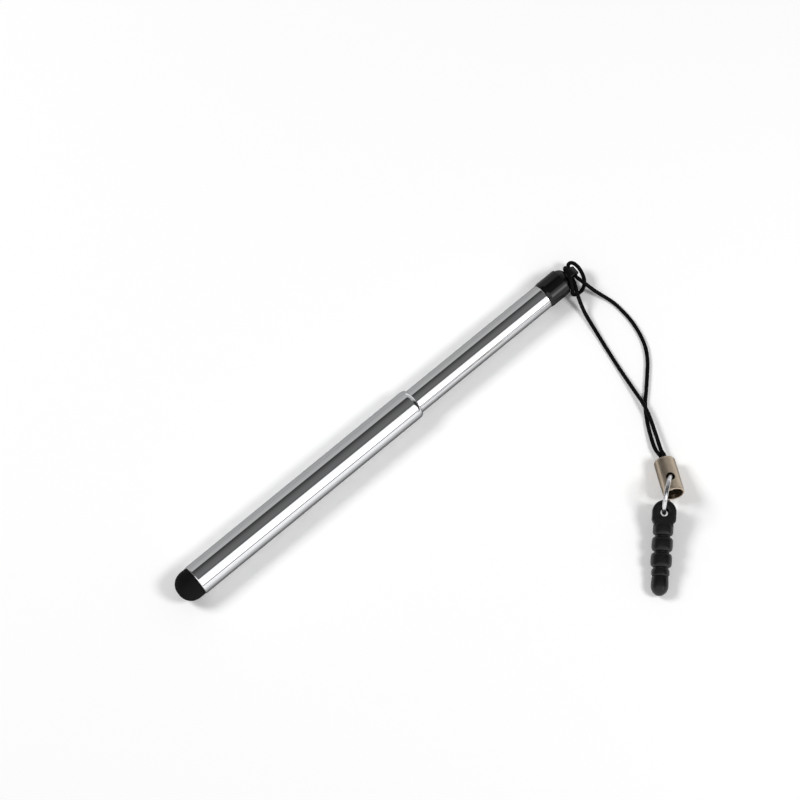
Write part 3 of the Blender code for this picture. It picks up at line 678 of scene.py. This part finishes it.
class STYLUS_OT_cap(bpy.types.Operator):
    """Builds the moulded end cap with its cord lug"""

    bl_idname = "stylus.cap"
    bl_label = "Moulded Cap"

    def execute(self, context):
        sizes = context.scene.pen_sizes
        radius = sizes.cap_radius
        seat_gap = 0.05 * MM
        shoulder = 0.2 * MM
        ledge = 0.12 * MM
        end_radius = 1.05 * MM
        lead_depth = 0.12 * MM
        chamfer = 0.3 * MM
        core = 1.1 * MM
        core_depth = 8.0 * MM
        lug_root = 1.0 * MM
        lug_edge = 0.15 * MM
        front = TUBE_REAR + seat_gap
        rear = front + sizes.cap_length
        end = rear + sizes.cap_cone
        cone_reach = radius - shoulder - ledge - end_radius
        spigot = sizes.tube_radius - sizes.tube_wall - seat_gap
        core_end = SPIGOT_FRONT + core_depth
        profile = [(0, end)]
        profile += arc((end_radius, rear), (cone_reach, sizes.cap_cone), 90, 0, 16)
        profile += arc((radius - shoulder, rear - shoulder), (shoulder, shoulder), 90, 0, 10)
        profile += [(radius, front + sizes.cap_lead), (radius - lead_depth, front), (spigot, front),
                    (spigot, SPIGOT_FRONT + chamfer), (spigot - chamfer, SPIGOT_FRONT), (core, SPIGOT_FRONT),
                    (core, core_end), (0, core_end)]
        body = turned_mesh("moulded_cap", profile, SMALL_SIDES, False)

        # The lug is a flat tab with a round end about its hole
        root = end - lug_root
        hole_at = PEN_END - sizes.lug_radius
        outline = [(-sizes.lug_radius, root), (sizes.lug_radius, root)]
        outline += arc((0, hole_at), (sizes.lug_radius, sizes.lug_radius), 0, 180, 40)
        hole = circle(hole_at, sizes.lug_hole / 2)
        lug = plate_mesh("lug", [outline, hole], sizes.lug_thickness, lug_edge)
        lug.transform(Matrix.Rotation(math.pi / 2, 4, "X"))
        mesh = combined_mesh(body, lug, "UNION")
        finish = abs_finish("moulded_black_abs", context.scene.finish_colours.abs_black)
        add_piece("moulded_cap", mesh, PEN_AXIS, "rear_section", "black_abs", finish, "rear_cap")
        return {"FINISHED"}


class STYLUS_OT_ferrule(bpy.types.Operator):
    """Builds the nickel ferrule and the melted bead in it"""

    bl_idname = "stylus.ferrule"
    bl_label = "Ferrule and Bead"

    def execute(self, context):
        sizes = context.scene.strap_sizes
        colours = context.scene.finish_colours
        radius = sizes.ferrule_diameter / 2
        bore = radius - sizes.ferrule_wall
        edge = sizes.ferrule_edge
        rim = sizes.ferrule_rim
        lip = sizes.ferrule_wall - rim
        end_wall = FERRULE_END_WALL
        cord_hole = 0.875 * MM
        plated_depth = 0.9 * MM
        top = sizes.ferrule_length
        plated_to = top - plated_depth
        profile = arc((bore + rim, top - rim), (rim, rim), 180, 90, 6)
        profile += arc((radius - lip, top - lip), (lip, lip), 90, 0, 10)[1:]
        profile += arc((radius - edge, edge), (edge, edge), 0, -90, 12)
        profile += [(cord_hole, 0), (cord_hole, end_wall), (bore, end_wall), (bore, plated_to)]
        sleeve = turned_mesh("crimped_ferrule", profile, SMALL_SIDES, True)
        drill = bmesh.new()
        bmesh.ops.create_cone(drill, cap_ends=True, segments=DRILL_SIDES, radius1=sizes.cross_hole / 2,
                              radius2=sizes.cross_hole / 2, depth=2 * sizes.ferrule_diameter)
        cutter = as_mesh("cross_hole", drill)
        cutter.transform(Matrix.Translation((0, 0, top - sizes.cross_hole_inset))
                         @ Matrix.Rotation(math.pi / 2, 4, "Y"))
        mesh = combined_mesh(sleeve, cutter, "DIFFERENCE")
        nickel = nickel_finish("satin_nickel_plate", colours.nickel)
        place = ferrule_place()
        add_piece("crimped_ferrule", mesh, place, "rear_section", "satin_nickel", nickel, "cord_ferrule")

        # Plating reaches a little way into the mouth; the bare bore behind it is darker, partly as painted
        # shade
        bare_from = 0.9 * end_wall
        mesh.materials.append(tarnish_and_shade_finish("tarnished_bore_painted_shade", colours.bore))
        for face in mesh.polygons:
            inside = face.center.xy.length < bore + rim / 2
            face.material_index = int(inside and bare_from < face.center.z < plated_to)

        # The bead sags a little to one side, as melted nylon sets
        bead_radius = 1.28 * MM
        bead_length = 1.45 * MM
        bead_gap = 0.08 * MM
        sag = 0.12
        sag_turn = 0.8
        middle = end_wall + bead_gap + bead_length / 2
        outline = arc((0, middle), (bead_radius, bead_length / 2), 90, -90, 24)
        bead = turned_mesh("melted_bead", outline, BEAD_SIDES, False)
        for vertex in bead.vertices:
            lean = 1 + sag * math.sin(2 * math.atan2(vertex.co.y, vertex.co.x) + sag_turn)
            flat = 1 - sag * (vertex.co.z - middle) / bead_length
            vertex.co.x *= (lean - sag) * flat
            vertex.co.y *= (lean - sag) * flat
        melted = melted_finish("melted_nylon", colours.nylon)
        add_piece("melted_bead", bead, place, "rear_section", "nylon_cord", melted, "cord_end_knot")
        return {"FINISHED"}


class STYLUS_OT_ring(bpy.types.Operator):
    """Bends the jump ring through the ferrule's cross hole"""

    bl_idname = "stylus.ring"
    bl_label = "Jump Ring"

    def execute(self, context):
        sizes = context.scene.strap_sizes
        radius = (sizes.ring_diameter - sizes.ring_wire) / 2
        wall_middle = (sizes.ferrule_diameter - sizes.ferrule_wall) / 2
        ahead = math.sqrt(radius ** 2 - wall_middle ** 2)
        place = (Matrix.Translation(CROSS_HOLE) @ FERRULE_TURN @ Matrix.Rotation(RING_SWING, 4, "X")
                 @ Matrix.Translation((0, 0, ahead)))
        joint_at = math.radians(40)
        half_gap = sizes.ring_joint / 2 / radius
        count = 128
        points = []
        for i in range(count):
            angle = joint_at + half_gap + (2 * math.pi - 2 * half_gap) * i / (count - 1)
            points.append((radius * math.sin(angle), 0, radius * math.cos(angle)))
        curve = bpy.data.curves.new("wire_ring", "CURVE")
        curve.dimensions = "3D"
        curve.bevel_depth = sizes.ring_wire / 2
        curve.bevel_resolution = 8
        curve.use_fill_caps = True
        add_spline(curve, points, False)
        mesh = evaluated_mesh(bpy.data.objects.new("wire_ring", curve))
        finish = steel_wire_finish("bright_steel_wire", context.scene.finish_colours.steel)
        add_piece("wire_ring", mesh, place, "jump_ring", "bright_steel_wire", finish, "jump_ring")
        return {"FINISHED"}


def rib_profile(start, end, foot, crest, next_foot, steps):
    """One rounded rib from its end station back to its start, with more points where it is rounder."""
    points = []
    for i in range(steps + 1):
        across = math.cos(math.pi * i / steps)
        fullness = (1 - across ** 4) ** 0.5
        edge = next_foot if across > 0 else foot
        points.append((edge + (crest - edge) * fullness, (start + end) / 2 + (end - start) / 2 * across))
    return points


class STYLUS_OT_plug(bpy.types.Operator):
    """Builds the ribbed dust plug with its eyelet head"""

    bl_idname = "stylus.plug"
    bl_label = "Dust Plug"

    def execute(self, context):
        sizes = context.scene.strap_sizes
        groove = sizes.plug_groove / 2
        rib = sizes.plug_rib / 2
        ball = sizes.plug_ball / 2
        beside = sizes.plug_groove_width / 2
        waist = 1.75 * MM
        collar = 1.85 * MM
        last_rib = 1.65 * MM
        eyelet_at = 2.3 * MM
        head_end = 4.4 * MM
        head_taper = 0.7 * MM
        head_thickness = 2.4 * MM
        head_edge = 0.5 * MM
        ball_tip = 1.9 * MM
        collar_length = 2.2 * MM
        rib_length = 2.9 * MM
        last_length = 1.4 * MM
        collar_end = head_end + collar_length
        first_end = collar_end + rib_length
        second_end = first_end + rib_length
        last_end = second_end + last_length
        ball_at = sizes.plug_length - ball_tip
        profile = arc((0, ball_at), (ball, ball_tip), 90, 0, 20)
        profile[0] = (0, sizes.plug_length)
        profile += arc((groove, ball_at), (ball - groove, ball_at - last_end), 0, -80, 12)[1:]
        profile += rib_profile(second_end + beside, last_end, groove, last_rib, groove, 20)
        profile += rib_profile(first_end + beside, second_end - beside, groove, rib, groove, 32)
        profile += rib_profile(collar_end + beside, first_end - beside, groove, rib, groove, 32)
        profile += rib_profile(head_end, collar_end - beside, waist, collar, groove, 28)
        shank = head_thickness / 2 - head_edge
        shank_start = eyelet_at + sizes.plug_eyelet
        profile += [(shank, head_end), (shank, shank_start), (0, shank_start)]
        body = turned_mesh("ribbed_plug", profile, SMALL_SIDES, False)

        # The head is a flat tab with a round top and straight sides, and narrows to the collar
        half = sizes.plug_head / 2
        root = head_end + head_edge
        outline = [(waist, root), (waist, head_end), (half, head_end - head_taper)]
        outline += arc((0, half), (half, half), 0, -180, 64)
        outline += [(-half, head_end - head_taper), (-waist, head_end), (-waist, root)]
        hole = circle(eyelet_at, sizes.plug_eyelet / 2)
        head = plate_mesh("plug_head", [outline, hole], head_thickness, head_edge)
        head.transform(Euler((math.pi / 2, 0, math.pi / 2)).to_matrix().to_4x4())
        mesh = combined_mesh(body, head, "UNION")

        reach = ball_at - eyelet_at
        dip = math.asin((EYELET.z - ball) / reach)
        turn = Euler((0, math.pi / 2 + dip, PLUG_HEADING)).to_matrix().to_4x4()
        place = Matrix.Translation(EYELET) @ turn @ Matrix.Translation((0, 0, -eyelet_at))
        base = context.scene.finish_colours.plug_rubber
        finish = rubber_finish("moulded_plug_silicone", base, grit_mm=0.06, roughness=0.4, gloss=0.5)
        add_piece("ribbed_plug", mesh, place, "dust_plug", "plug_rubber", finish, "dust_plug")
        return {"FINISHED"}


def smooth_path(points, step):
    """Points about a step apart on a Catmull-Rom curve through the given points."""
    ends = [2 * points[0] - points[1], *points, 2 * points[-1] - points[-2]]
    path = []
    for before, start, end, after in zip(ends, ends[1:], ends[2:], ends[3:]):
        count = max(1, round((end - start).length / step))
        for i in range(count):
            t = i / count
            path.append(0.5 * (2 * start + (end - before) * t
                               + (2 * before - 5 * start + 4 * end - after) * t ** 2
                               + (3 * start - before - 3 * end + after) * t ** 3))
    return path + [points[-1]]


def braided_mesh(name, path, radius, pitch, relief):
    """A tube along a path whose surface rises and falls as crossing yarns do."""
    shape = bmesh.new()
    uv_layer = shape.loops.layers.uv.new("braid")
    side = (path[1] - path[0]).orthogonal().normalized()
    travelled = 0.0
    rings = []
    for i, point in enumerate(path):
        ahead = path[min(i + 1, len(path) - 1)]
        behind = path[max(i - 1, 0)]
        along = (ahead - behind).normalized()
        side = (side - along * side.dot(along)).normalized()
        other = along.cross(side)
        travelled += (point - behind).length
        ring = []
        for k in range(CORD_SIDES):
            angle = 2 * math.pi * k / CORD_SIDES
            yarns = YARNS_ROUND * angle / 2
            march = math.pi * travelled / pitch
            crossing = math.cos(2 * (yarns + march)) * math.cos(2 * (yarns - march))
            height = radius - relief * (0.5 - 0.5 * crossing)
            ring.append(shape.verts.new(point + height * (math.cos(angle) * side + math.sin(angle) * other)))
        rings.append((travelled / pitch, ring))
    for (start, ring), (end, following) in zip(rings, rings[1:]):
        for k in range(CORD_SIDES):
            after = (k + 1) % CORD_SIDES
            face = shape.faces.new((ring[k], ring[after], following[after], following[k]))
            shares = ((k, start), (k + 1, start), (k + 1, end), (k, end))
            for loop, (place, run) in zip(face.loops, shares):
                loop[uv_layer].uv = (place * YARNS_ROUND / CORD_SIDES, run)
    shape.faces.new(rings[0][1][::-1])
    shape.faces.new(rings[-1][1])
    bmesh.ops.recalc_face_normals(shape, faces=shape.faces)
    return as_mesh(name, shape)


class STYLUS_OT_cord(bpy.types.Operator):
    """Lays the braided cord from the ferrule to its hitch on the lug and back"""

    bl_idname = "stylus.cord"
    bl_label = "Braided Cord"

    def execute(self, context):
        sizes = context.scene.strap_sizes
        pen = context.scene.pen_sizes
        lug = PEN_AXIS @ Vector((0, 0, PEN_END - pen.lug_radius))
        offset = (sizes.cord_diameter + sizes.cord_spacing) / 2
        place = ferrule_place()

        def on_table(points):
            return [Vector((lug.x + x * MM, lug.y + y * MM, z * MM)) for x, y, z in points]

        def in_lug(shift):
            return [lug + Vector((shift, share * pen.lug_thickness, 0)) for share in LUG_PASS]

        def in_ferrule(shift):
            beside = Matrix.Rotation(CORD_PAIR_TURN, 4, "Z") @ Vector((0, shift, 0))
            return [place @ (beside + Vector((0, 0, z))) for z in (-CORD_LEAD, 0, FERRULE_END_WALL)]

        route = in_ferrule(offset)[::-1] + on_table(STRAIGHT_STRAND)[::-1] + in_lug(-offset)
        route += [lug + Vector(point) * MM for point in HITCH]
        route += in_lug(offset)[::-1] + on_table(BOWED_STRAND) + in_ferrule(-offset)
        path = smooth_path(route, CORD_STEP)
        mesh = braided_mesh("braided_cord", path, sizes.cord_diameter / 2, sizes.braid_pitch,
                            sizes.braid_relief)
        finish = nylon_finish("braided_nylon", context.scene.finish_colours.nylon, sizes.braid_pitch)
        cord = add_piece("braided_cord", mesh, Matrix.Identity(4), "rear_section", "nylon_cord", finish,
                         "strap_cord")
        return {"FINISHED"}


class STYLUS_OT_inner_works(bpy.types.Operator):
    """Finishes the turned and rolled pieces inside the pen"""

    bl_idname = "stylus.inner_works"
    bl_label = "Inner Works"

    def execute(self, context):
        colours = context.scene.finish_colours
        brass = worked_metal_finish("turned_brass", colours.brass, marks_mm=(0.08, 3.0, 3.0))
        bronze = worked_metal_finish("rolled_spring_bronze", colours.bronze, marks_mm=(2.5, 0.1, 0.1))
        finishes = {"tip_holder": brass, "stop_bush": brass, "friction_shell_upper": bronze,
                    "friction_shell_lower": bronze}
        for node, finish in finishes.items():
            slots = frame["nodes"][node].data.materials
            slots.clear()
            slots.append(finish)
        return {"FINISHED"}


def grey_stops(shades, low, high):
    """Ramp stops from (place, sRGB grey) pairs, with places from low to high as 0 to 1."""
    return [((place - low) / (high - low), linear("#" + 3 * f"{grey:02X}")[0]) for place, grey in shades]


def build_table(settings):
    """A pale table top, white to the camera. The metal mirrors it with a painted shadow close to the pen."""
    shape = bmesh.new()
    bmesh.ops.create_grid(shape, x_segments=1, y_segments=1, size=TABLE_HALF)
    mesh = as_mesh("table_top", shape)
    table = bpy.data.objects.new("table_top", mesh)
    bpy.context.scene.collection.objects.link(table)
    material, tree, shader = new_finish("matt_white_table", settings.table, 0.0, 0.9, Specular_IOR_Level=0.0)
    place = add(tree, "ShaderNodeTexCoord")
    axes = add(tree, "ShaderNodeSeparateXYZ", {"Vector": place.outputs["Object"]})
    # The metal sees the table with the pen's shadow painted in: darker close along the pen
    share = add(tree, "ShaderNodeMapRange", {
        "Value": axes.outputs["Y"], "From Min": -TABLE_REACH, "From Max": TABLE_REACH})
    shades = add(tree, "ShaderNodeValToRGB", {"Fac": share.outputs["Result"]},
                 stops=grey_stops(TABLE_PAINTED_SHADES, -TABLE_REACH / MM, TABLE_REACH / MM))
    # Round the ferrule a deeper shadow is painted into the mirrored table
    away = add(tree, "ShaderNodeVectorMath", {
        0: place.outputs["Object"], 1: ferrule_place().translation}, operation="DISTANCE")
    ferrule_painted_shadow = add(tree, "ShaderNodeMapRange", {
        "Value": away.outputs["Value"], "From Min": FERRULE_PAINTED_SHADOW[0], "From Max": FERRULE_PAINTED_SHADOW[1],
        "To Min": FERRULE_PAINTED_SHADOW_GREY, "To Max": 1.0})
    mirrored = add(tree, "ShaderNodeMix", {
        "Factor": 1.0, MIX_A: shades.outputs["Color"], MIX_B: ferrule_painted_shadow.outputs["Result"]},
        data_type="RGBA", blend_type="DARKEN")
    path = add(tree, "ShaderNodeLightPath")
    seen = add(tree, "ShaderNodeMix", {
        "Factor": path.outputs["Is Glossy Ray"], MIX_A: (*settings.table, 1.0),
        MIX_B: mirrored.outputs[MIX_RESULT]}, data_type="RGBA")
    tree.links.new(seen.outputs[MIX_RESULT], shader.inputs["Base Color"])

    # Far from the pen the camera sees plain white, so that the table has no edge
    reach = add(tree, "ShaderNodeVectorMath", {0: place.outputs["Object"]}, operation="LENGTH")
    far = add(tree, "ShaderNodeMapRange", {
        "Value": reach.outputs["Value"], "From Min": TABLE_FADE[0], "From Max": TABLE_FADE[1]},
        interpolation_type="SMOOTHSTEP")
    faded = add(tree, "ShaderNodeMath", {0: far.outputs["Result"], 1: path.outputs["Is Camera Ray"]},
                operation="MULTIPLY")
    white = add(tree, "ShaderNodeEmission", {"Color": flat_grey(1.0), "Strength": 1.0})
    surface = add(tree, "ShaderNodeMixShader", {
        0: faded.outputs[0], 1: shader.outputs["BSDF"], 2: white.outputs["Emission"]})
    tree.links.new(surface.outputs["Shader"], tree.nodes["Material Output"].inputs["Surface"])
    mesh.materials.append(material)


def build_world(settings):
    """White to the camera, even light on matt surfaces, and the studio's cards in the metal."""
    world = bpy.data.worlds.new("white_studio")
    bpy.context.scene.world = world
    world.use_nodes = True
    tree = world.node_tree
    place = add(tree, "ShaderNodeTexCoord")
    axes = add(tree, "ShaderNodeSeparateXYZ", {"Vector": place.outputs["Generated"]})
    across = add(tree, "ShaderNodeMath", {0: axes.outputs["Y"], 1: -1.0}, operation="MULTIPLY")
    angle = add(tree, "ShaderNodeMath", {0: across.outputs[0], 1: axes.outputs["Z"]}, operation="ARCTAN2")
    along = add(tree, "ShaderNodeMath", {0: axes.outputs["X"], 1: CARD_MIDDLE}, operation="SUBTRACT")
    skewed = add(tree, "ShaderNodeMath", {0: along.outputs[0], 1: -CARD_SKEW, 2: angle.outputs[0]},
                 operation="MULTIPLY_ADD")
    share = add(tree, "ShaderNodeMapRange", {
        "Value": skewed.outputs[0], "From Min": -math.pi / 2, "From Max": math.pi / 2})
    cards = add(tree, "ShaderNodeValToRGB", {"Fac": share.outputs["Result"]},
                stops=grey_stops(STUDIO_CARDS, -90, 90))
    at_end = add(tree, "ShaderNodeMapRange", {
        "Value": axes.outputs["X"], "From Min": END_START[0], "From Max": END_START[1]},
        interpolation_type="SMOOTHSTEP")
    far_grey = add(tree, "ShaderNodeMapRange", {
        "Value": axes.outputs["Z"], "From Min": END_RISE[0], "From Max": END_RISE[1],
        "To Min": 1.0, "To Max": END_GREYS[1]}, interpolation_type="SMOOTHSTEP")
    end_grey = add(tree, "ShaderNodeMapRange", {
        "Value": axes.outputs["Y"], "From Min": END_SIDES[0], "From Max": END_SIDES[1],
        "To Min": END_GREYS[0], "To Max": far_grey.outputs["Result"]})
    whole = add(tree, "ShaderNodeMix", {
        "Factor": at_end.outputs["Result"], MIX_A: cards.outputs["Color"],
        MIX_B: end_grey.outputs["Result"]}, data_type="RGBA")
    off_middle = add(tree, "ShaderNodeVectorMath", {
        0: place.outputs["Generated"], 1: SOFTBOX_MIDDLE}, operation="DISTANCE")
    brightness = add(tree, "ShaderNodeMapRange", {
        "Value": off_middle.outputs["Value"], "From Max": SOFTBOX_REACH,
        "To Min": SOFTBOX_LEVEL, "To Max": CARD_LEVEL}, interpolation_type="SMOOTHSTEP")
    lit = add(tree, "ShaderNodeVectorMath", {
        0: whole.outputs[MIX_RESULT], "Scale": brightness.outputs["Result"]}, operation="SCALE")
    path = add(tree, "ShaderNodeLightPath")
    thrown = add(tree, "ShaderNodeMix", {
        "Factor": path.outputs["Diffuse Depth"], MIX_A: lit.outputs[0], MIX_B: flat_grey(THROWN_LEVEL)},
        data_type="RGBA")
    mirrored = add(tree, "ShaderNodeMix", {
        "Factor": path.outputs["Is Glossy Ray"], MIX_A: flat_grey(settings.sky_level),
        MIX_B: thrown.outputs[MIX_RESULT]}, data_type="RGBA")
    seen = add(tree, "ShaderNodeMix", {
        "Factor": path.outputs["Is Camera Ray"], MIX_A: mirrored.outputs[MIX_RESULT],
        MIX_B: flat_grey(1.0)}, data_type="RGBA")
    tree.links.new(seen.outputs[MIX_RESULT], tree.nodes["Background"].inputs["Color"])


def aim(item, location, target):
    """Puts a camera or a lamp at a place and turns it to look at a point."""
    item.location = location
    item.rotation_euler = (target - location).to_track_quat("-Z", "Y").to_euler()
    bpy.context.scene.collection.objects.link(item)


def add_lamp(name, place, size, power):
    """A round soft lamp that looks at the pen. The metal mirrors the cards instead of it."""
    light = bpy.data.lights.new(name, "AREA")
    light.shape = "DISK"
    light.size = size
    light.energy = power
    lamp = bpy.data.objects.new(name, light)
    lamp.visible_glossy = False
    aim(lamp, place, LAMP_AIM)


class STYLUS_OT_stage(bpy.types.Operator):
    """Sets up the camera, the table and the studio light"""

    bl_idname = "stylus.stage"
    bl_label = "White Studio"

    def execute(self, context):
        settings = context.scene.stage_settings
        lens = bpy.data.cameras.new("photo_camera")
        lens.lens = CAMERA_LENS
        lens.sensor_width = CAMERA_SENSOR
        lens.sensor_fit = "HORIZONTAL"
        lens.clip_start = CAMERA_NEAR
        camera = bpy.data.objects.new("photo_camera", lens)
        aim(camera, CAMERA_AT, CAMERA_AIM)
        context.scene.camera = camera

        add_lamp("key_softbox", KEY_AT, KEY_SIZE, settings.key_power)
        add_lamp("fill_softbox", FILL_AT, FILL_SIZE, settings.fill_power)
        build_table(settings)
        build_world(settings)
        context.scene.view_settings.view_transform = "Standard"
        return {"FINISHED"}


PIECE_OPERATORS = (
    STYLUS_OT_barrel, STYLUS_OT_tube, STYLUS_OT_tip, STYLUS_OT_cap, STYLUS_OT_ferrule, STYLUS_OT_ring,
    STYLUS_OT_plug, STYLUS_OT_cord, STYLUS_OT_inner_works, STYLUS_OT_stage,
)
SETTINGS = {
    "pen_sizes": PenSizes,
    "strap_sizes": StrapSizes,
    "finish_colours": FinishColours,
    "stage_settings": StageSettings,
}


class STYLUS_PT_panel(bpy.types.Panel):
    """Lists the stylus's pieces and their sizes and colours"""

    bl_idname = "STYLUS_PT_panel"
    bl_label = "Telescoping Stylus"
    bl_space_type = "VIEW_3D"
    bl_region_type = "UI"
    bl_category = "Stylus"

    def draw(self, context):
        for operator in PIECE_OPERATORS:
            self.layout.operator(operator.bl_idname)
        for name, group in SETTINGS.items():
            column = self.layout.box().column()
            for key in group.__annotations__:
                column.prop(getattr(context.scene, name), key)


def register():
    for group in (*SETTINGS.values(), *PIECE_OPERATORS, STYLUS_PT_panel):
        bpy.utils.register_class(group)
    for name, group in SETTINGS.items():
        setattr(bpy.types.Scene, name, PointerProperty(type=group))


def unregister():
    for name in SETTINGS:
        delattr(bpy.types.Scene, name)
    for group in (STYLUS_PT_panel, *PIECE_OPERATORS[::-1], *SETTINGS.values()):
        bpy.utils.unregister_class(group)


def main():
    register()
    bpy.ops.stylus.stage()
    bpy.ops.stylus.barrel()
    bpy.ops.stylus.tube()
    bpy.ops.stylus.tip()
    bpy.ops.stylus.cap()
    bpy.ops.stylus.ferrule()
    bpy.ops.stylus.ring()
    bpy.ops.stylus.plug()
    bpy.ops.stylus.cord()
    bpy.ops.stylus.inner_works()


if __name__ == "__main__":
    main()
